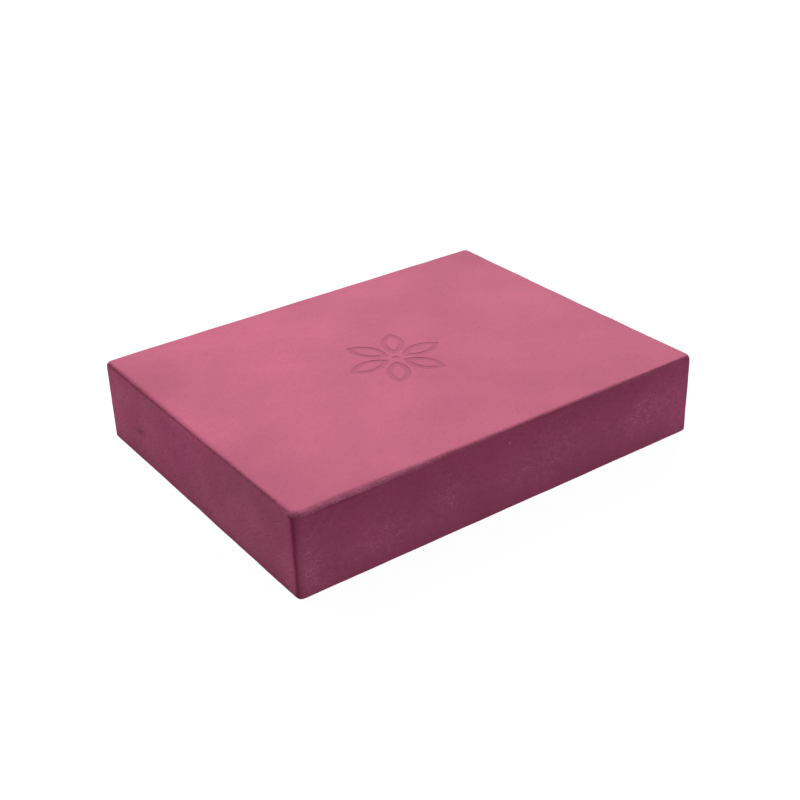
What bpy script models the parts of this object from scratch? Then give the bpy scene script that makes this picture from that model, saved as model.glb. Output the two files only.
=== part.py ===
"""Pilates head block: one slab of closed-cell EVA foam with rounded edges and a rosette pressed into its top.

Lengths are in metres and +Z is up. The origin is the middle of the underside, +X runs along the
longer sides and +Y along the shorter ones.
"""

import math

import bmesh
import bpy

# The slab
LENGTH = 0.265
WIDTH = 0.205
HEIGHT = 0.050
EDGE_RADIUS = 0.003
EDGE_SEGMENTS = 6

# The rosette, pressed into the middle of the top with a warm die
PETALS = 6
PETAL_LENGTH = 0.026
PETAL_WIDTH = 0.0135
PETAL_START = 0.005  # from the rosette's middle to the inner tip of each petal
CHANNEL_WIDTH = 0.0034
CHANNEL_DEPTH = 0.00025
WALL_LEAN = 0.0002  # how far a channel's wall leans over its depth
DOT_RADIUS = 0.0022
ARC_STEPS = 12

# The foam
FOAM_COLOUR = "C4687F"
FOAM_ROUGHNESS = 0.85


def clear_scene():
    for obj in list(bpy.data.objects):
        bpy.data.objects.remove(obj, do_unlink=True)


def linear_colour(hex_colour):
    """An sRGB hex colour as the linear RGBA that a shader takes."""
    channels = [int(hex_colour[i : i + 2], 16) / 255 for i in (0, 2, 4)]
    return [c / 12.92 if c <= 0.04045 else ((c + 0.055) / 1.055) ** 2.4 for c in channels] + [1.0]


def foam_material():
    """Matt, evenly dyed foam."""
    material = bpy.data.materials.new("eva_foam")
    material.use_nodes = True
    shader = material.node_tree.nodes["Principled BSDF"]
    shader.inputs["Base Color"].default_value = linear_colour(FOAM_COLOUR)
    shader.inputs["Roughness"].default_value = FOAM_ROUGHNESS
    shader.inputs["Metallic"].default_value = 0.0
    return material


def add_object(name, mesh_builder):
    """An object whose mesh is what the bmesh holds, which is then freed."""
    mesh = bpy.data.meshes.new(name)
    mesh_builder.to_mesh(mesh)
    mesh_builder.free()
    obj = bpy.data.objects.new(name, mesh)
    bpy.context.collection.objects.link(obj)
    return obj


def slab():
    """The sawn slab, standing on the plane z = 0, with every edge and corner rounded over."""
    builder = bmesh.new()
    bmesh.ops.create_cube(builder, size=1.0)
    bmesh.ops.scale(builder, verts=builder.verts, vec=(LENGTH, WIDTH, HEIGHT))
    bmesh.ops.translate(builder, verts=builder.verts, vec=(0, 0, HEIGHT / 2))
    block = add_object("foam_block", builder)
    rounding = block.modifiers.new("edge_rounding", "BEVEL")
    rounding.width = EDGE_RADIUS
    rounding.segments = EDGE_SEGMENTS
    rounding.limit_method = "NONE"
    return block


def petal_outline(inset):
    """A petal's outline drawn in by inset, as (across, along) points from the petal's middle.

    Two equal arcs meet at the tips. Drawing the petal in shortens their radius and leaves their centres.
    """
    bend = (PETAL_LENGTH**2 + PETAL_WIDTH**2) / (4 * PETAL_WIDTH)
    centre = bend - PETAL_WIDTH / 2
    radius = bend - inset
    sweep = math.acos(centre / radius)
    side = []
    for step in range(ARC_STEPS):
        angle = sweep * (2 * step / ARC_STEPS - 1)
        side.append((radius * math.cos(angle) - centre, radius * math.sin(angle)))
    return side + [(-across, -along) for across, along in side]


def petal_loop(builder, turn, inset, height):
    """One closed loop of vertices round the petal that points towards the angle turn."""
    reach = PETAL_START + PETAL_LENGTH / 2
    loop = []
    for across, along in petal_outline(inset):
        x = (reach + along) * math.cos(turn) - across * math.sin(turn)
        y = (reach + along) * math.sin(turn) + across * math.cos(turn)
        loop.append(builder.verts.new((x, y, height)))
    return loop


def dot_loop(builder, radius, height):
    """One closed loop of vertices round the rosette's middle."""
    count = 2 * ARC_STEPS
    angles = [2 * math.pi * step / count for step in range(count)]
    return [builder.verts.new((radius * math.cos(a), radius * math.sin(a), height)) for a in angles]


def wall(builder, first, second):
    """Quads from one loop of vertices to the next."""
    for i in range(len(first)):
        builder.faces.new((first[i - 1], first[i], second[i], second[i - 1]))


def rosette_die():
    """The die that presses the rosette: a ring round each petal, and a dot. It narrows downwards."""
    floor = HEIGHT - CHANNEL_DEPTH
    top = HEIGHT + CHANNEL_DEPTH
    builder = bmesh.new()
    for petal in range(PETALS):
        turn = 2 * math.pi * petal / PETALS
        loops = [
            petal_loop(builder, turn, WALL_LEAN, floor),
            petal_loop(builder, turn, -WALL_LEAN, top),
            petal_loop(builder, turn, CHANNEL_WIDTH + WALL_LEAN, top),
            petal_loop(builder, turn, CHANNEL_WIDTH - WALL_LEAN, floor),
        ]
        for i in range(len(loops)):
            wall(builder, loops[i - 1], loops[i])
    dot_floor = dot_loop(builder, DOT_RADIUS - WALL_LEAN, floor)
    dot_top = dot_loop(builder, DOT_RADIUS + WALL_LEAN, top)
    wall(builder, dot_floor, dot_top)
    builder.faces.new(dot_floor)
    builder.faces.new(dot_top)
    bmesh.ops.recalc_face_normals(builder, faces=builder.faces)
    die = add_object("rosette_die", builder)
    die.hide_render = True
    die.display_type = "WIRE"
    return die


def foam_block():
    """The whole block: the slab, dyed through, with the rosette pressed in."""
    block = slab()
    pressing = block.modifiers.new("rosette", "BOOLEAN")
    pressing.operation = "DIFFERENCE"
    pressing.solver = "EXACT"
    pressing.object = rosette_die()
    block.data.materials.append(foam_material())
    return block


clear_scene()
foam_block()
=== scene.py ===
"""Looks of the pilates block: one slab of closed-cell EVA foam with routed edges and a pressed rosette."""

import math

import bpy
import numpy as np
from mathutils import Matrix, Vector


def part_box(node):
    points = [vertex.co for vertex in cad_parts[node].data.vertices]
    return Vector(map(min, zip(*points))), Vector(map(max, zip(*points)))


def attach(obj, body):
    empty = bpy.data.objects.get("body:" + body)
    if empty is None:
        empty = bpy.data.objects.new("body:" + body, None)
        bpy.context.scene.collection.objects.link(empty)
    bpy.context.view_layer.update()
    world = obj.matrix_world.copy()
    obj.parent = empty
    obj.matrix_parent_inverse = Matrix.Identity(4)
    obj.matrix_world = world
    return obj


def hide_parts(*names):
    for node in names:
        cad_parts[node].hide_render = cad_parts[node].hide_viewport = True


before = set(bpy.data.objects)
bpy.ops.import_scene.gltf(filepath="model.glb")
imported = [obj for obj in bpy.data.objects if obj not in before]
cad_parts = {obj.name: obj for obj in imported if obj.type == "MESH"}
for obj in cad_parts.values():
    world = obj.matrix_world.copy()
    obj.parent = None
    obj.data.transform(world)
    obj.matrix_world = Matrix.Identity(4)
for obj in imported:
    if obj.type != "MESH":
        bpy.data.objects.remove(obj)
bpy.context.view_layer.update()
MM = 0.001

# Where the block is seen from. The camera stands off its near left corner, a little above it, and is
# turned slightly about its own axis. Its lens is a short tele one.
SIGHT_AZIMUTH = -35.036
SIGHT_ELEVATION = 28.718
SIGHT_ROLL = -1.816
SIGHT_DISTANCE = 768.9 * MM
SIGHT_POINT = (-1.17 * MM, -4.88 * MM, 25 * MM)
SENSOR_WIDTH = 36  # mm
LENS = 60.12  # mm

camera = bpy.data.objects.new("camera", bpy.data.cameras.new("camera"))
bpy.context.scene.collection.objects.link(camera)
camera.data.sensor_width = SENSOR_WIDTH
camera.data.lens = LENS
sight_turn = (
    Matrix.Rotation(math.radians(SIGHT_AZIMUTH), 4, "Z")
    @ Matrix.Rotation(math.radians(90 - SIGHT_ELEVATION), 4, "X")
    @ Matrix.Rotation(math.radians(SIGHT_ROLL), 4, "Z")
)
camera.matrix_world = (
    Matrix.Translation(SIGHT_POINT) @ sight_turn @ Matrix.Translation((0, 0, SIGHT_DISTANCE))
)
bpy.context.scene.camera = camera

# The slab. Closed-cell EVA foam is sawn from a thick bun, skived flat on both broad faces, and run
# along a rounding cutter on every edge. It is soft enough to lean on the cutter, so an edge comes out
# round here and nearly flat there.
HALF_LENGTH, HALF_WIDTH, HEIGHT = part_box("foam_block")[1]
# The top edge, followed from the far right corner along the back, left, front and right side, one unit
# of place each. An edge is a quarter of a superellipse, whose power is 2 where it is an ellipse, less
# where it is flatter in its middle, and more where it is squarer. A row gives the place, how far in from
# the side the edge starts and how far down it ends, in mm, its power, how much it is rubbed pale, and
# how much the cutter burnished it, which also sets how much painted shade lies along it.
TOP_EDGE = [
    (0.10, 2.3, 2.2, 2.0, 0.2, 0.3),
    (0.50, 2.0, 2.1, 2.0, 0.2, 0.3),
    (0.90, 2.1, 2.1, 1.9, 0.1, 0.4),
    (1.10, 3.1, 2.0, 1.8, 0.0, 0.5),
    (1.45, 3.1, 1.6, 1.9, 0.0, 0.35),
    (1.70, 2.4, 1.8, 2.0, 0.1, 0.1),
    (1.92, 2.3, 2.3, 2.0, 0.1, 0.05),
    (2.02, 3.2, 2.4, 1.4, 1.7, 0.0),
    (2.13, 3.1, 2.2, 1.3, 1.8, 0.0),
    (2.22, 2.4, 2.0, 1.4, 1.6, 0.0),
    (2.36, 2.3, 2.2, 1.7, 0.9, 0.1),
    (2.60, 2.6, 2.2, 2.0, 0.15, 0.25),
    (2.78, 2.5, 2.3, 2.0, 0.4, 0.05),
    (2.90, 1.5, 2.8, 1.9, 0.8, 0.0),
    (3.20, 2.2, 2.5, 2.0, 0.2, 0.3),
    (3.60, 2.5, 2.6, 2.0, 0.2, 0.3),
]
# The upright edges in the same order: how far each runs along the long side and along the short one,
# in mm, and its power at the foot and at the top.
UPRIGHT_EDGE = [
    (0, 3.2, 3.2, 2.6, 2.3),
    (1, 3.2, 3.2, 2.3, 2.2),
    (2, 5.2, 5.7, 3.5, 2.4),
    (3, 2.8, 2.8, 3.4, 2.4),
]
FOOT_EDGE = 2.4 * MM
FOOT_LESS = 0.1  # how much smaller the foot's rounding is on the short sides, as a share
CORNER_RUB = 0.9 * MM  # how much more a top corner is rubbed off, where three faces meet
CORNER_RUB_DEPTH = 5.0 * MM

LONG_STEPS, SHORT_STEPS, CORNER_STEPS = 154, 118, 14
DISC_RADIUS = 34 * MM
DISC_STEPS, SPREAD_STEPS, EDGE_STEPS, SIDE_STEPS = 80, 20, 14, 34
FOOT_STEPS, UNDER_STEPS, POLE_STEPS = 8, 6, 3
SPREAD_EASING = 1.35  # above 1, so that spreading rings close up towards the last one


def spokes():
    """The lines that run from the middle of the top, over the sides, to the middle of the underside.

    Gives for each the centre of its corner as signed shares of the half length and half width, the
    angle that it faces, its bearing on a disc and its place along the outline. Between two corners the
    centre slides from one to the other. On a disc all spokes are spaced evenly by bearing.
    """
    corners = np.array([(1, 1), (-1, 1), (-1, -1), (1, -1)], float)
    centre, facing, place = [], [], []
    for quarter in range(4):
        here, there = corners[quarter], corners[(quarter + 1) % 4]
        sliding = np.linspace(0, 1, LONG_STEPS if quarter % 2 == 0 else SHORT_STEPS, endpoint=False)
        centre += [np.tile(here, (CORNER_STEPS, 1)), here + (there - here) * sliding[:, None]]
        facing += [np.linspace(quarter, quarter + 1, CORNER_STEPS, endpoint=False)]
        facing += [np.full(len(sliding), quarter + 1.0)]
        place += [np.full(CORNER_STEPS, float(quarter)), quarter + sliding]
    facing = np.concatenate(facing) * math.pi / 2
    count = len(facing)
    bearing = 2 * math.pi * (np.arange(count) + (SHORT_STEPS + CORNER_STEPS) / 2) / count
    return np.concatenate(centre), facing, bearing, np.concatenate(place)


spoke_centre, spoke_facing, spoke_bearing, spoke_place = spokes()
level = np.zeros(len(spoke_place))  # nothing, at every spoke


def along_outline(table):
    """The columns of a table after its places, each read between its rows at every spoke."""
    places, *columns = np.array(table, float).T
    return [np.interp(spoke_place, places, column, period=4) for column in columns]


def smooth(share):
    """Eases from 0 to 1: three times the square less twice the cube."""
    share = np.clip(share, 0, 1)
    return share * share * (3 - 2 * share)


def bent(turn, power):
    """A superellipse's point at a turn: its cosine and sine, each to the power 2 / power, signs kept."""
    both = np.stack([np.cos(turn), np.sin(turn)], axis=-1)
    return np.sign(both) * np.abs(both) ** (2 / power)[..., None]


top_reach, top_drop, top_power, top_worn, top_burnish_and_shade = along_outline(TOP_EDGE)
top_reach, top_drop = top_reach * MM, top_drop * MM
along_long, along_short, foot_power, head_power = along_outline(UPRIGHT_EDGE)
upright_reach = np.stack([along_long, along_short], axis=-1) * MM


def rounded(inset, height):
    """Points of the outline at a height, drawn in by inset. Its corners grow towards the top."""
    rub = CORNER_RUB * (1 - smooth((HEIGHT - height) / CORNER_RUB_DEPTH))
    corner = upright_reach + rub[:, None]
    direction = bent(spoke_facing, foot_power + (head_power - foot_power) * height / HEIGHT)
    half = np.array([HALF_LENGTH, HALF_WIDTH])
    return spoke_centre * (half - corner) + (corner - inset[:, None]) * direction


def slab():
    """The slab's points as an array of ring by spoke.

    Discs round the middle of the top and of the underside spread into rounded rectangles. The foot's
    rounding is a quarter circle, which is smaller on the short sides.
    """
    foot = FOOT_EDGE * (1 - FOOT_LESS * np.cos(spoke_facing) ** 2)
    rings = []

    def ring(inset, height, spread=1.0, disc=DISC_RADIUS):
        inset, height = level + inset, level + height
        disc_points = disc * np.stack([np.cos(spoke_bearing), np.sin(spoke_bearing)], axis=-1)
        plan = disc_points * (1 - spread) + rounded(inset, height) * spread
        rings.append(np.column_stack([plan, height]))

    for share in np.arange(1, DISC_STEPS + 1) / DISC_STEPS:
        ring(top_reach, HEIGHT, spread=0.0, disc=DISC_RADIUS * share)
    for share in 1 - (1 - np.arange(1, SPREAD_STEPS + 1) / SPREAD_STEPS) ** SPREAD_EASING:
        ring(top_reach, HEIGHT, spread=share)
    for share in np.arange(1, EDGE_STEPS + 1) / EDGE_STEPS:
        up, out = bent(level + share * math.pi / 2, top_power).T
        ring(top_reach * (1 - out), HEIGHT - top_drop * (1 - up))
    for share in np.arange(1, SIDE_STEPS + 1) / SIDE_STEPS:
        ring(0, (HEIGHT - top_drop) * (1 - share) + foot * share)
    for share in np.arange(1, FOOT_STEPS + 1) / FOOT_STEPS:
        turn = share * math.pi / 2
        ring(foot * (1 - math.cos(turn)), foot * (1 - math.sin(turn)))
    for share in (1 - np.arange(1, UNDER_STEPS + 1) / UNDER_STEPS) ** SPREAD_EASING:
        ring(foot, 0, spread=share)
    for share in 1 - np.arange(1, POLE_STEPS) / POLE_STEPS:
        ring(foot, 0, spread=0.0, disc=DISC_RADIUS * share)
    return np.array(rings)


points = slab()
down, around = np.gradient(points, axis=0), np.roll(points, -1, axis=1) - np.roll(points, 1, axis=1)
outward = np.cross(down, around)
outward /= np.linalg.norm(outward, axis=-1, keepdims=True)

# Which part of the block each point lies on, as shares from 0 to 1, read from the way that it faces. The
# long sides face along Y, and the short ones along X.
SIDE_FROM = 0.75  # how much a point faces sideways where a side begins
UNDER_FROM = 0.7  # how much it faces down where the underside begins
facing_x, facing_y, facing_up = np.moveaxis(outward, -1, 0)
sideways = np.hypot(facing_x, facing_y)
lift = points[..., 2] / HEIGHT
on_top = points[..., 2] == HEIGHT
on_side = smooth((sideways - SIDE_FROM) / (1 - SIDE_FROM))
underneath = smooth((-facing_up - UNDER_FROM) / (1 - UNDER_FROM))
long_side = on_side * facing_y**2
# The squared sine of twice the turn, which is 1 in the middle of an edge and 0 on the faces beside it.
edge_turn = 4 * (facing_up * sideways) ** 2
top_edge = edge_turn * (facing_up > 0)
# Burnish and painted shade are strongest where a top edge faces 38 degrees up, and where an upright edge
# faces 22 degrees away from the short side, along which the cutter left it. The powers put them there.
TOP_BURNISH_AND_SHADE_POWER = 0.8
UPRIGHT_BURNISH_AND_SHADE_POWER = 0.5
rising = np.arctan2(np.maximum(facing_up, 0), sideways) / (math.pi / 2)
leaning = np.arctan2(np.abs(facing_y), np.abs(facing_x)) / (math.pi / 2)
top_burnish_and_shade_band = np.sin(math.pi * rising**TOP_BURNISH_AND_SHADE_POWER) ** 2
upright_burnish_and_shade_band = on_side * np.sin(math.pi * leaning**UPRIGHT_BURNISH_AND_SHADE_POWER) ** 4


def ripple(points, wavelength, seed, waves=24, shortest=0.7, longest=1.5):
    """A smooth random field of RMS 1: plane waves in random directions, summed.

    Their lengths lie between shortest and longest times the wavelength that is given.
    """
    draw = np.random.default_rng(seed)
    direction = draw.normal(size=(waves, 3))
    direction /= np.linalg.norm(direction, axis=1, keepdims=True)
    length = wavelength * draw.uniform(shortest, longest, waves)
    phase = draw.uniform(0, 2 * math.pi, waves)
    turns = points @ (direction / length[:, None]).T * 2 * math.pi + phase
    return np.sin(turns).sum(axis=-1) * math.sqrt(2 / waves)


# The broad unevenness of cut foam: faces that wander by a twentieth of a millimetre, and edges that
# were shaved slightly more in one place than in another. The underside stays flat on the floor.
FACE_WANDER = 0.05 * MM
FACE_DEPTH = 1.5 * FACE_WANDER  # how far in a face lies on average, so that it stays inside the solid
EDGE_WANDER = 0.04 * MM
FINE_WANDER = 0.4  # how strong the finer ripple is beside the broad one
FINE_SHAVE = 0.6
broad_wander, fine_wander = ripple(points, 45 * MM, seed=11), ripple(points, 15 * MM, seed=12)
wander = FACE_WANDER * (broad_wander + FINE_WANDER * fine_wander)
broad_shave, fine_shave = ripple(points, 30 * MM, seed=13), ripple(points, 7 * MM, seed=14)
shaved = EDGE_WANDER * (np.abs(broad_shave) + FINE_SHAVE * np.abs(fine_shave))
depth = np.maximum(FACE_DEPTH - wander, 0) * (1 - underneath) + edge_turn * shaved

# Knocks from use: short dents where the block was set down on something hard or dropped. Each has a
# place, a run, a length, a width and a depth in millimetres.
KNOCKS = [
    ((-132.5, 63.0, 20.0), (0, -1, 0.15), 6.0, 2.1, 0.80),
    ((-104.0, -102.5, 49.2), (1, 0, 0), 2.4, 1.6, 0.20),
    ((-39.0, -102.5, 48.9), (1, 0, 0), 3.6, 1.8, 0.20),
    ((96.0, 102.5, 49.0), (1, 0, 0), 4.0, 2.0, 0.30),
    ((132.5, -31.0, 48.8), (0, 1, 0), 4.5, 1.8, 0.30),
    ((132.5, 64.0, 12.0), (0, 0.9, 0.4), 5.0, 1.8, 0.30),
    ((38.0, 102.5, 21.0), (0.9, 0, 0.45), 5.5, 1.8, 0.30),
    ((-132.5, -40.0, 49.2), (0, 1, 0), 3.0, 1.6, 0.20),
]
knocked = np.zeros(depth.shape)
for place, run, long, wide, deep in KNOCKS:
    run = np.array(run) / np.linalg.norm(run)
    offset = points - np.array(place) * MM
    along = offset @ run
    across = np.sqrt(np.maximum((offset**2).sum(axis=-1) - along**2, 0))
    knocked = knocked + deep * np.exp(-((along / (long * MM)) ** 2) - (across / (wide * MM)) ** 2)
depth = depth + knocked * MM


def patches(table):
    """The sum of soft patches: each a place, a half width, a half height in mm and a strength."""
    total = np.zeros(points.shape[:-1])
    for place, wide, high, strength in table:
        offset = points / MM - place
        far = np.hypot(offset[..., 0], offset[..., 1]) / wide
        total = total + strength * np.exp(-(far**2) - (offset[..., 2] / high) ** 2)
    return total


# Dust on the sawn sides: on the short ones nearly all over, thinning out at the foot, and on the long
# ones in patches where the nap stands up.
DUST = [
    ((-126, -102, 18), 10, 20, 0.80),
    ((-82, -102, 14), 28, 11, 0.50),
    ((-38, -102, 22), 10, 15, 0.50),
    ((28, -102, 24), 27, 15, 0.72),
    ((96, -102, 27), 24, 15, 0.65),
    ((128, -102, 16), 10, 14, 0.40),
    ((50, 102, 22), 40, 14, 0.60),
    ((-60, 102, 18), 30, 12, 0.50),
    ((132, 20, 28), 40, 16, 0.20),
]
SHORT_DUST = 0.6
SHORT_DUST_UNEVEN = 0.1
FOOT_DUST = 0.3  # how far the dust's easing has come at the very foot
DUST_RISE = 0.25  # over which share of the height it then goes on
steady = SHORT_DUST + SHORT_DUST_UNEVEN * ripple(points, 60 * MM, seed=21)
dust = patches(DUST) + smooth(FOOT_DUST + lift / DUST_RISE) * steady * (1 - long_side)
# A thin even veil of powder on the long sides, which thickens from the top down and towards the ends of
# the front.
VEIL = [
    ((-126, -102, 16), 9, 20, 0.80),
    ((126, -102, 26), 16, 30, 0.60),
]
VEIL_FALL = 0.6  # the share of the height, from the top, over which it thickens
veil = long_side * (smooth((1 - lift) / VEIL_FALL) + patches(VEIL))
# Grime, which a block picks up towards its foot where it slides over the floor end first, so that the
# long sides have less of it, and painted shade where the foot meets the floor, laid on with it.
GRIME_AND_SHADE_HEIGHT = 6 * MM
GRIME_AND_SHADE_LESS = 0.6
grime_and_foot_shade = (1 - underneath) * np.exp(-points[..., 2] / GRIME_AND_SHADE_HEIGHT) * (1 - GRIME_AND_SHADE_LESS * facing_y**2)
# Clouds in the dye, where the foam took more of the light pigment or less, and smudges from hands. Those
# at a height of 50 lie on the top, and the rest on the left side. Two under the left side's top edge are a
# painted highlight and painted shade.
CLOUDS_AND_PAINTED_LIGHT = [
    ((-45, 88, 50), 45, 4, 0.55),
    ((30, 96, 50), 30, 4, 0.55),
    ((-62, 5, 50), 45, 4, 0.30),
    ((0, 0, 50), 46, 4, 0.22),
    ((-50, -42, 50), 30, 4, 0.25),
    ((-84, -82, 50), 28, 4, 0.30),
    ((118, 0, 50), 30, 4, 0.20),
    ((-121, 54, 50), 9, 4, -0.25),
    ((-130, 74, 50), 22, 4, -0.40),
    ((-119, -60, 50), 11, 4, -0.25),
    ((-130, -70, 50), 20, 4, -0.20),
    ((74, 58, 50), 20, 4, -0.25),
    ((20, -74, 50), 24, 4, -0.15),
    ((60, -66, 50), 22, 4, -0.25),
    ((106, -80, 50), 22, 4, -0.40),
    ((126, 92, 50), 18, 4, -0.80),
    ((-112, -98, 50), 12, 4, -0.40),
    ((-88, -99, 50), 14, 4, -0.50),
    ((-132, 14, 9), 20, 6, -0.30),
    ((-132, 0, 10), 90, 9, 0.15),
    ((-132, 92, 14), 12, 12, 0.30),
    # Painted shade and a painted highlight just under the left side's top edge.
    ((-132, 64, 47), 26, 4, -0.30),
    ((-132, 2, 48), 28, 2.5, 0.90),
    ((-132, -66, 42), 24, 9, -0.80),
    ((-132, -34, 42), 20, 9, -0.30),
    ((-134, -92, 22), 12, 20, 0.50),
]
tone_and_painted_light = patches(CLOUDS_AND_PAINTED_LIGHT)

# The rosette: six outlined petals round a dot, pressed into the top with a warm die that softens the
# foam and leaves its cells closed up, darker and smoother. The channels' shoulders come out round, and
# their walls carry painted shade.
PETALS = 6
PETAL_LENGTH = 26 * MM
PETAL_WIDTH = 13.5 * MM
PETAL_START = 5 * MM
CHANNEL_WIDTH = 3.4 * MM
CHANNEL_DEPTH = 0.25 * MM
SHOULDER = 0.35 * MM  # outside the outline
WALL_LEAN = 0.35 * MM  # inside it
DOT_RADIUS = 2.2 * MM


def channel_wall(x, y):
    """Distance from a point of the top to the nearest channel wall, positive inside a channel.

    A petal is the overlap of two circles, so the distance inside it is their radius less the distance
    from the farther centre. The channel lies between that and the same distance less its width.
    """
    bend = (PETAL_LENGTH**2 + PETAL_WIDTH**2) / (4 * PETAL_WIDTH)
    centre = bend - PETAL_WIDTH / 2
    turn = 2 * math.pi * np.arange(PETALS) / PETALS
    along = x[..., None] * np.cos(turn) + y[..., None] * np.sin(turn) - PETAL_START - PETAL_LENGTH / 2
    across = y[..., None] * np.cos(turn) - x[..., None] * np.sin(turn)
    inside = (bend - np.hypot(np.abs(across) + centre, along)).max(axis=-1)
    dot = DOT_RADIUS - np.hypot(x, y)
    return np.maximum(np.minimum(inside, CHANNEL_WIDTH - inside), dot)


wall_share = (channel_wall(points[..., 0], points[..., 1]) + SHOULDER) / (SHOULDER + WALL_LEAN)
pressed = smooth(wall_share) * on_top
points = points - outward * (depth + CHANNEL_DEPTH * pressed)[..., None]


def closed_mesh(name, grid):
    """The mesh of a grid of ring by spoke, closed round the spokes and with a point at both ends."""
    rings, around = grid.shape[:2]
    spoke = np.arange(around)
    after = (spoke + 1) % around
    ring = np.arange(rings - 1)[:, None] * around
    quads = np.stack([ring + spoke, ring + around + spoke, ring + around + after, ring + after], axis=-1)
    first, last, edge = rings * around, rings * around + 1, (rings - 1) * around
    first_cap = np.column_stack([np.full(around, first), spoke, after])
    last_cap = np.column_stack([np.full(around, last), edge + after, edge + spoke])
    vertices = np.concatenate([grid.reshape(-1, 3), [grid[0].mean(axis=0), grid[-1].mean(axis=0)]])
    mesh = bpy.data.meshes.new(name)
    mesh.from_pydata(vertices, [], quads.reshape(-1, 4).tolist() + first_cap.tolist() + last_cap.tolist())
    mesh.shade_smooth()
    return mesh


# What the mesh says about each of its points, for the finish to read. A point's distances from the
# three pairs of faces are put in order of size: the first is almost 0, and the second is how far off
# the nearest edge is.
RIM = 6 * MM
RIM_LESS = 0.7  # how much weaker the rim is on the sides
SAWN_FROM = 0.3  # how much a point faces outwards where the sawn cells start on the short sides
SAWN_LATER = 0.25  # how much more that is on the long ones
SAWN_OVER = 0.4
# Burnish on the upright edges, which also lays painted shade on them.
UPRIGHT_BURNISH_AND_SHADE = 0.75
UPRIGHT_BURNISH_AND_SHADE_RISE = 0.2  # how much more burnish an upright edge has at its top
from_faces = np.maximum([HALF_LENGTH, HALF_WIDTH, HEIGHT / 2] - np.abs(points - [0, 0, HEIGHT / 2]), 0)
from_edge = np.sort(from_faces, axis=-1)[..., 1]
burnish_and_shade = upright_burnish_and_shade_band * (UPRIGHT_BURNISH_AND_SHADE + UPRIGHT_BURNISH_AND_SHADE_RISE * lift) + top_burnish_and_shade_band * top_burnish_and_shade
MARKS = {
    "sawn": smooth((sideways - SAWN_FROM - SAWN_LATER * np.abs(facing_y)) / SAWN_OVER),
    "long_side": long_side,
    # Burnish together with painted shade along the edges.
    "burnish_and_shade": np.clip(burnish_and_shade, 0, 1),
    "worn": np.sqrt(top_edge) * top_worn,
    # Dye clouds and smudges, with painted light on the left side.
    "tone_and_painted_light": 0.5 + 0.5 * np.clip(tone_and_painted_light, -1, 1),
    "pressed": pressed,
    # Painted shade on the channel walls.
    "channel_wall_shade": 4 * pressed * (1 - pressed),
    "rim": np.exp(-from_edge / RIM) * (1 - RIM_LESS * on_side),
    "knocked": np.clip(knocked, 0, 1),
    "dust": np.clip(dust, 0, 1),
    "veil": veil,
    # Grime and painted shade at the foot.
    "grime_and_foot_shade": grime_and_foot_shade,
}
block_mesh = closed_mesh("eva_block", points)
for name, grid in MARKS.items():
    values = np.concatenate([grid.reshape(-1), [grid[0].mean(), grid[-1].mean()]]).astype(np.float32)
    block_mesh.attributes.new(name, "FLOAT", "POINT").data.foreach_set("value", values)


# The foam's finish. Closed-cell EVA is dyed through and dead matt. Its broad faces keep a fine skived
# skin with a cloudy dye, its sawn sides show opened cells and a dusty nap, and the turned edges, where
# the cutter ran hot, are closed up and deeper in colour, with painted shade laid along them.
def linear(hex_colour):
    """An sRGB hex colour as the linear RGBA that a socket takes."""
    shares = [int(hex_colour[i : i + 2], 16) / 255 for i in (0, 2, 4)]
    return [c / 12.92 if c <= 0.04045 else ((c + 0.055) / 1.055) ** 2.4 for c in shares] + [1.0]


def add_node(tree, kind, inputs=(), **settings):
    """Adds a node, sets its own settings, and sets or links its inputs.

    The inputs are a list in the order of the sockets, or a table by their names or numbers. In a Mix
    node, 2 and 3 are the two numbers that it mixes, and 6 and 7 the two colours.
    """
    made = tree.nodes.new("ShaderNode" + kind)
    for name, value in settings.items():
        setattr(made, name, value)
    sockets = inputs.items() if isinstance(inputs, dict) else enumerate(inputs)
    for socket, value in sockets:
        if isinstance(value, bpy.types.NodeSocket):
            tree.links.new(value, made.inputs[socket])
        else:
            made.inputs[socket].default_value = value
    return made


SKIN_DYE = linear("C96884")
SAWN_DYE = linear("AB4A6E")
DUST_PALE = linear("E88EAA")
NAP_PALE = linear("E880A6")
# The turned edges' dye is deeper in colour and darker still, as painted shade.
BURNISH_AND_SHADE_DYE = linear("9C3059")
PRESSED_DYE = linear("BC617C")

eva = bpy.data.materials.new("closed_cell_eva_foam")
eva.use_nodes = True
tree = eva.node_tree
shader = tree.nodes["Principled BSDF"]
share_of = {name: add_node(tree, "Attribute", attribute_name=name).outputs["Fac"] for name in MARKS}
place = add_node(tree, "TexCoord").outputs["Object"]
millimetres = add_node(tree, "VectorMath", {0: place, "Scale": 1 / MM}, operation="SCALE").outputs[0]
# The same axes turned a quarter round, for what runs along the long sides as it does along the short.
QUARTER_TURN = (0.0, 0.0, math.pi / 2)
lengthwise = add_node(tree, "Mapping", {"Vector": millimetres, "Rotation": QUARTER_TURN}).outputs[0]

# The patterns of the cut foam: clouds and a fine mottle in the dye, nicks that the skiving knife left
# slanting over the skin, strokes of the saw that slant along each side, curled fibres of nap along them,
# the patches that the nap lies in, and blotches.
SKIVE_TURN = (0.0, 0.0, math.radians(45.0))
SAW_TURN = (math.radians(-28.0), 0.0, 0.0)
UNTURNED = (0.0, 0.0, 0.0)
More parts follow.
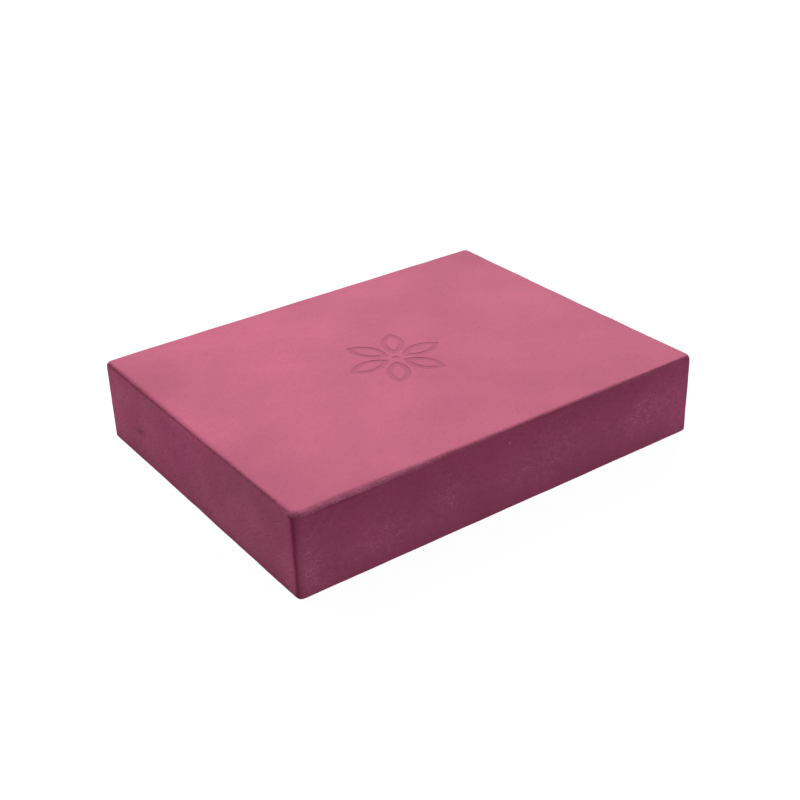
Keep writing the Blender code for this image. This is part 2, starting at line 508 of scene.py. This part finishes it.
# Each has the axes that it follows, its turn, the size of its features in mm, its detail and roughness.
PATTERNS = {
    "clouds": (millimetres, SKIVE_TURN, (50.0, 40.0, 40.0), 2.0, 0.5),
    "mottle": (millimetres, UNTURNED, (4.5, 4.5, 4.5), 3.0, 0.6),
    "nicks": (millimetres, SKIVE_TURN, (4.5, 0.9, 3.0), 2.0, 0.6),
    "short_strokes": (millimetres, SAW_TURN, (1.6, 4.8, 1.4), 2.0, 0.55),
    "long_strokes": (lengthwise, SAW_TURN, (1.6, 4.8, 1.4), 2.0, 0.55),
    "curls": (lengthwise, SAW_TURN, (1.5, 2.6, 1.5), 1.5, 0.5),
    "nap_patches": (millimetres, UNTURNED, (22.0, 22.0, 22.0), 2.0, 0.5),
    "blotches": (millimetres, UNTURNED, (24.0, 24.0, 6.0), 2.0, 0.55),
}
pattern = {}
for name, (axes, turn, size, detail, rough) in PATTERNS.items():
    spread = add_node(
        tree, "Mapping", {"Vector": axes, "Rotation": turn, "Scale": size}, vector_type="TEXTURE"
    ).outputs[0]
    pattern[name] = add_node(
        tree, "TexNoise", {"Vector": spread, "Scale": 1.0, "Detail": detail, "Roughness": rough}
    ).outputs["Fac"]
CELL_SIZE = 1.3  # mm. Real cells are 0.2 mm across, which is too fine to show
cells = add_node(tree, "TexVoronoi", {"Vector": millimetres, "Scale": 1 / CELL_SIZE, "Randomness": 1.0})
pits = cells.outputs["Distance"]
strokes = add_node(
    tree,
    "Mix",
    {"Factor": share_of["long_side"], 2: pattern["short_strokes"], 3: pattern["long_strokes"]},
    data_type="FLOAT",
).outputs[0]

# The nap of the sawn sides: pale curled fibres on the long ones, which follow the middle contours of
# their pattern and lie in tufts, and an even dust on the short ones. A Map Range takes what it reads, the
# range that counts, and what it gives at both ends of that range.
PATCH_RANGE = (0.45, 1.45)
FIBRE_WIDTH = 0.08  # how far off its contour a fibre ends
TUFT_RANGE = (0.40, 0.60)
TUFT_LEAST = 0.3  # what is left of the fibres between the tufts
NAP_SHARE = (0.08, 0.65)  # between the fibres and on them
DUST_SHARE = 0.22
VEIL_SHARE = 0.14
ragged = add_node(tree, "Math", [share_of["dust"], pattern["nap_patches"]], operation="ADD").outputs[0]
patch = add_node(tree, "MapRange", [ragged, *PATCH_RANGE, 0.0, 1.0]).outputs[0]
off_contour = add_node(tree, "Math", [pattern["curls"], 0.5], operation="SUBTRACT").outputs[0]
off_contour = add_node(tree, "Math", [off_contour], operation="ABSOLUTE").outputs[0]
fibres = add_node(tree, "MapRange", [off_contour, 0.0, FIBRE_WIDTH, 1.0, 0.0]).outputs[0]
tufts = add_node(tree, "MapRange", [pattern["mottle"], *TUFT_RANGE, TUFT_LEAST, 1.0]).outputs[0]
fibres = add_node(tree, "Math", [fibres, tufts], operation="MULTIPLY").outputs[0]
raised = add_node(tree, "MapRange", [fibres, 0.0, 1.0, *NAP_SHARE]).outputs[0]
raised = add_node(
    tree, "Mix", {"Factor": share_of["long_side"], 2: DUST_SHARE, 3: raised}, data_type="FLOAT"
).outputs[0]
nap = add_node(tree, "Math", [patch, raised], operation="MULTIPLY").outputs[0]
even = add_node(tree, "Math", [share_of["veil"], VEIL_SHARE], operation="MULTIPLY").outputs[0]
powdered = add_node(tree, "Math", [nap, even], operation="ADD").outputs[0]

# Where an edge is rubbed, the foam is roughed up paler, most of all along its fibres. One crumb of lint
# has stuck to the front.
RUBBED_SHARE = (0.20, 0.60)
CRUMB = (-1.0, -102.5, 41.5)  # mm
CRUMB_RANGE = (0.2, 0.9)  # mm from its middle
CRUMB_SHARE = 0.7
rubbed = add_node(tree, "MapRange", [fibres, 0.0, 1.0, *RUBBED_SHARE]).outputs[0]
rubbed = add_node(tree, "Math", [rubbed, share_of["worn"]], operation="MULTIPLY").outputs[0]
from_crumb = add_node(tree, "VectorMath", [millimetres, CRUMB], operation="DISTANCE").outputs["Value"]
crumb = add_node(tree, "MapRange", [from_crumb, *CRUMB_RANGE, CRUMB_SHARE, 0.0]).outputs[0]

# The colours, one over the other: powder on the sawn dye, that beside the skin, and then what was rubbed
# pale, what was turned hot and darkened with painted shade, what was pressed and what was stuck on.
powder = add_node(
    tree, "Mix", {"Factor": share_of["long_side"], 6: DUST_PALE, 7: NAP_PALE}, data_type="RGBA"
).outputs[2]
sawn = add_node(tree, "Mix", {"Factor": powdered, 6: SAWN_DYE, 7: powder}, data_type="RGBA").outputs[2]
dye = SKIN_DYE
for share, over in [
    (share_of["sawn"], sawn),
    (rubbed, NAP_PALE),
    (share_of["burnish_and_shade"], BURNISH_AND_SHADE_DYE),
    (share_of["pressed"], PRESSED_DYE),
    (crumb, NAP_PALE),
]:
    dye = add_node(tree, "Mix", {"Factor": share, 6: dye, 7: over}, data_type="RGBA").outputs[2]

# What makes the dye lighter or deeper. On the skin the nicks are deeper, and on the sawn sides the
# strokes. Then come the clouds, the mottle, the pits, and what the marks say, among them painted shade
# on the channel walls and at the foot and painted light under the left side's top edge. The grime and
# the painted shade at the foot are smeared.
NOISE_RANGE = (0.25, 0.75)  # where nearly all of a noise lies
NICK_RANGE = (0.26, 0.44)
STROKE_RANGE = (0.24, 0.42)
PIT_RANGE = (0.0, 0.35)
SMEAR_RANGE = (0.3, 0.7)
NICK_GAIN = 0.90
STROKE_GAIN = 0.80
BLOTCH_GAIN = (0.98, 1.02)
# The smears spread the grime and the painted shade at the foot alike.
SMEAR_GAIN = (0.5, 1.5)  # how much of the grime lies where the smears are thin and thick
nick_gain = add_node(tree, "MapRange", [pattern["nicks"], *NICK_RANGE, NICK_GAIN, 1.0]).outputs[0]
stroke_gain = add_node(tree, "MapRange", [strokes, *STROKE_RANGE, STROKE_GAIN, 1.0]).outputs[0]
blotch_gain = add_node(tree, "MapRange", [pattern["blotches"], *NOISE_RANGE, *BLOTCH_GAIN]).outputs[0]
side_gain = add_node(tree, "Math", [stroke_gain, blotch_gain], operation="MULTIPLY").outputs[0]
gain = add_node(
    tree, "Mix", {"Factor": share_of["sawn"], 2: nick_gain, 3: side_gain}, data_type="FLOAT"
).outputs[0]
smeared_grime_and_shade = add_node(tree, "MapRange", [pattern["blotches"], *SMEAR_RANGE, *SMEAR_GAIN]).outputs[0]
smeared_grime_and_shade = add_node(tree, "Math", [smeared_grime_and_shade, share_of["grime_and_foot_shade"]], operation="MULTIPLY").outputs[0]
# A row gives what is read, the range of it that counts, and the gain at both ends of that range.
GAINS = [
    (pattern["clouds"], *NOISE_RANGE, 0.925, 1.075),
    (pattern["mottle"], *NOISE_RANGE, 0.96, 1.04),
    (pits, *PIT_RANGE, 0.96, 1.0),
    # Dye clouds and smudges, with a painted highlight and painted shade on the left side.
    (share_of["tone_and_painted_light"], 0.0, 1.0, 0.84, 1.16),
    (share_of["rim"], 0.0, 1.0, 1.0, 0.96),
    (share_of["knocked"], 0.0, 1.0, 1.0, 0.6),
    # Painted shade on the channel walls.
    (share_of["channel_wall_shade"], 0.0, 1.0, 1.0, 0.91),
    # Grime and painted shade at the foot.
    (smeared_grime_and_shade, 0.0, 1.0, 1.0, 0.68),
]
for row in GAINS:
    factor = add_node(tree, "MapRange", row).outputs[0]
    gain = add_node(tree, "Math", [gain, factor], operation="MULTIPLY").outputs[0]
dyed = add_node(tree, "VectorMath", {0: dye, "Scale": gain}, operation="SCALE").outputs[0]
tree.links.new(dyed, shader.inputs["Base Color"])

# The foam hardly shines, and its opened cells shine even less than its closed skin.
SKIN_ROUGHNESS = (0.80, 0.88)
SAWN_ROUGHNESS = 0.95
SHINE = 0.1
rough_skin = add_node(tree, "MapRange", [pattern["mottle"], *NOISE_RANGE, *SKIN_ROUGHNESS]).outputs[0]
roughness = add_node(
    tree, "Mix", {"Factor": share_of["sawn"], 2: rough_skin, 3: SAWN_ROUGHNESS}, data_type="FLOAT"
).outputs[0]
tree.links.new(roughness, shader.inputs["Roughness"])
shader.inputs["Specular IOR Level"].default_value = SHINE

# The relief of cells, and of nicks on the skin, strokes on the short sides and nap on the long ones. A
# nick is far shallower than a stroke, and a stroke is torn open wider than its deep colour reaches.
CELL_HEIGHT = 0.030 * MM
CUT_HEIGHT = 0.25 * MM
TORN_RANGE = (0.24, 0.55)
NICK_HEIGHT = 0.15  # as a share of a stroke's
cell_bump = add_node(tree, "Bump", {"Height": pits, "Distance": CELL_HEIGHT, "Strength": 1.0}).outputs[0]
torn = add_node(tree, "MapRange", [strokes, *TORN_RANGE, 0.0, 1.0]).outputs[0]
nicked = add_node(tree, "MapRange", [pattern["nicks"], *NICK_RANGE, 0.0, NICK_HEIGHT]).outputs[0]
side_height = add_node(
    tree, "Mix", {"Factor": share_of["long_side"], 2: torn, 3: nap}, data_type="FLOAT"
).outputs[0]
cut_height = add_node(
    tree, "Mix", {"Factor": share_of["sawn"], 2: nicked, 3: side_height}, data_type="FLOAT"
).outputs[0]
cut_bump = add_node(
    tree, "Bump", {"Height": cut_height, "Distance": CUT_HEIGHT, "Strength": 1.0, "Normal": cell_bump}
).outputs[0]
tree.links.new(cut_bump, shader.inputs["Normal"])

# The block itself stands for its solid and rides with it.
block = bpy.data.objects.new("eva_block", block_mesh)
bpy.context.scene.collection.objects.link(block)
block_mesh.materials.append(eva)
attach(block, "root")
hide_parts("foam_block")

# The studio: a pale floor, one broad soft lamp behind and above, and a low soft lamp on either side. To
# the eye and to reflections the floor shows white and the world beyond it pale grey, but they light the
# block only as a dim room does. The floor keeps the block's shadow.
FLOOR_SIZE = 8.0
FLOOR_DROP = 0.2 * MM  # keeps the floor off the underside
FLOOR_GREY = linear("646464")
FLOOR_GLOW = 0.97
FLOOR_LIGHT = 0.36
WORLD_GLOW = 1.0
WORLD_LIGHT = 0.20


def seen_directly(tree):
    """1 for a camera, glossy or transmission ray, and 0 for the light that falls on the block."""
    path = add_node(tree, "LightPath").outputs
    seen = path["Is Camera Ray"]
    for ray in ("Is Glossy Ray", "Is Transmission Ray"):
        seen = add_node(tree, "Math", [seen, path[ray]], operation="MAXIMUM").outputs[0]
    return seen


floor_mesh = bpy.data.meshes.new("floor")
half_floor = FLOOR_SIZE / 2
floor_corners = [(x * half_floor, y * half_floor, 0) for x, y in ((-1, -1), (1, -1), (1, 1), (-1, 1))]
floor_mesh.from_pydata(floor_corners, [], [(0, 1, 2, 3)])
floor = bpy.data.objects.new("floor", floor_mesh)
floor.location.z = -FLOOR_DROP
bpy.context.scene.collection.objects.link(floor)
paper = bpy.data.materials.new("studio_paper")
paper.use_nodes = True
tree = paper.node_tree
tree.nodes.clear()
matt = add_node(tree, "BsdfDiffuse", {"Color": FLOOR_GREY}).outputs[0]
strength = add_node(tree, "MapRange", [seen_directly(tree), 0.0, 1.0, FLOOR_LIGHT, FLOOR_GLOW]).outputs[0]
glow = add_node(tree, "Emission", {"Strength": strength}).outputs[0]
lit_paper = add_node(tree, "AddShader", [matt, glow]).outputs[0]
add_node(tree, "OutputMaterial", {"Surface": lit_paper})
floor_mesh.materials.append(paper)

world = bpy.data.worlds.new("studio")
bpy.context.scene.world = world
world.use_nodes = True
tree = world.node_tree
tree.nodes.clear()
strength = add_node(tree, "MapRange", [seen_directly(tree), 0.0, 1.0, WORLD_LIGHT, WORLD_GLOW]).outputs[0]
sky = add_node(tree, "Background", {"Strength": strength}).outputs[0]
add_node(tree, "OutputWorld", {"Surface": sky})


def soft_lamp(name, azimuth, elevation, distance, size, power):
    """A square lamp that faces the block from an azimuth, counted from +X towards +Y, and an elevation."""
    lamp = bpy.data.objects.new(name, bpy.data.lights.new(name, "AREA"))
    lamp.data.shape = "SQUARE"
    lamp.data.size = size
    lamp.data.energy = power
    turn, rise = math.radians(azimuth), math.radians(elevation)
    towards = Vector((math.cos(turn) * math.cos(rise), math.sin(turn) * math.cos(rise), math.sin(rise)))
    lamp.location = towards * distance
    lamp.rotation_euler = towards.to_track_quat("Z", "Y").to_euler()
    bpy.context.scene.collection.objects.link(lamp)


soft_lamp("behind", azimuth=45, elevation=36, distance=9.0, size=3.6, power=985.0)
soft_lamp("left_side", azimuth=125, elevation=14, distance=1.6, size=0.8, power=8.9)
soft_lamp("right_side", azimuth=310, elevation=6, distance=1.6, size=0.8, power=4.0)

bpy.context.scene.view_settings.view_transform = "Standard"
